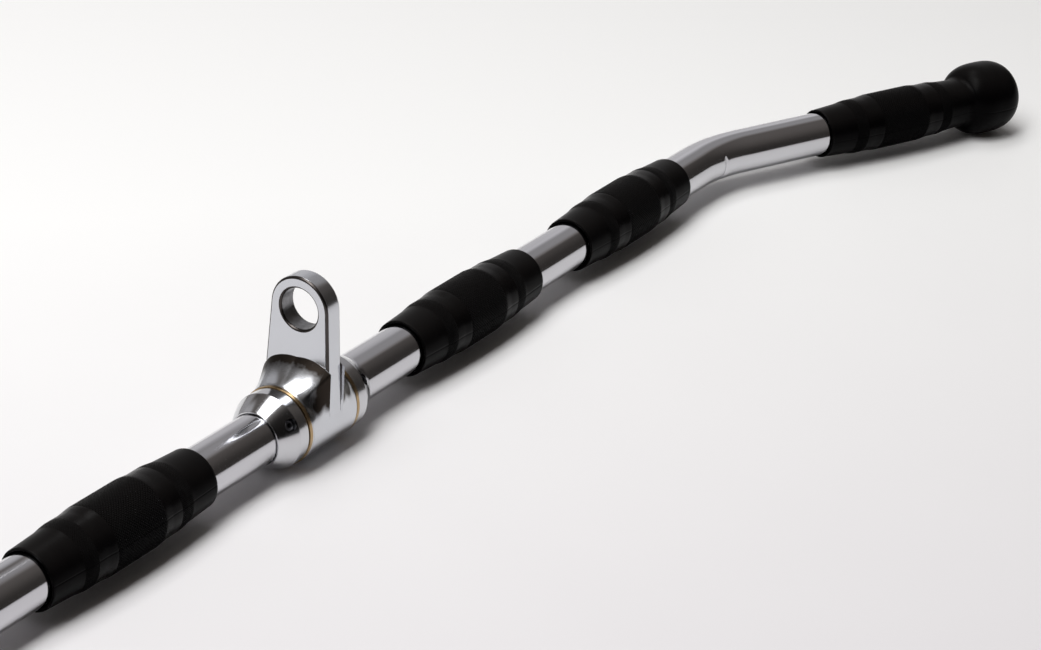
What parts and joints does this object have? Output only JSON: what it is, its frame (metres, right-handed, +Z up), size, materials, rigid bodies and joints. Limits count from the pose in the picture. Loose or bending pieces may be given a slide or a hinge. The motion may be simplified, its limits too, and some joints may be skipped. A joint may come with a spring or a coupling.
{
  "type": "lat pulldown bar",
  "caption": "Long bar with bent ends, rubber grips and knobs, and a revolving hanger eye in its middle for a cable machine.",
  "frame": {"origin": "on the floor, below the middle of the object's outer box, as it lies on its knobs and barrel with the eye upright", "axes": "+X along the bar's straight middle, +Y away from the bent ends, +Z up along the eye plate"},
  "size_m": [1.2256, 0.1282, 0.0887],
  "materials": {
    "tube_chrome": "polished chrome plating on steel tube",
    "cast_chrome": "chrome plating on a ground casting, slightly softer than the tube",
    "bronze": "plain sintered bronze, oily",
    "brass": "turned brass, dull gold",
    "screw_steel": "black oxide steel",
    "rubber": "black rubber, smooth cuffs, fine diamond texture on the gripping zones",
    "plug_plastic": "black moulded plastic"
  },
  "bodies": {
    "bar": {"bar_tube": "tube_chrome", "washer_left": "brass", "washer_right": "brass", "collar_left": "cast_chrome", "collar_right": "cast_chrome", "set_screw_left": "screw_steel", "set_screw_right": "screw_steel", "grip_inner_left": "rubber", "grip_inner_right": "rubber", "grip_outer_left": "rubber", "grip_outer_right": "rubber", "end_grip_left": "rubber", "end_grip_right": "rubber", "end_plug_left": "plug_plastic", "end_plug_right": "plug_plastic"},
    "hanger": {"hanger_body": "cast_chrome", "bushing_left": "bronze", "bushing_right": "bronze"}
  },
  "joints": [
    {"name": "eye_swivel", "type": "hinge", "parent": "bar", "child": "hanger", "pos_m": [0, 0.04311, 0.0193], "axis": [1, 0, 0], "continuous": true}
  ]
}
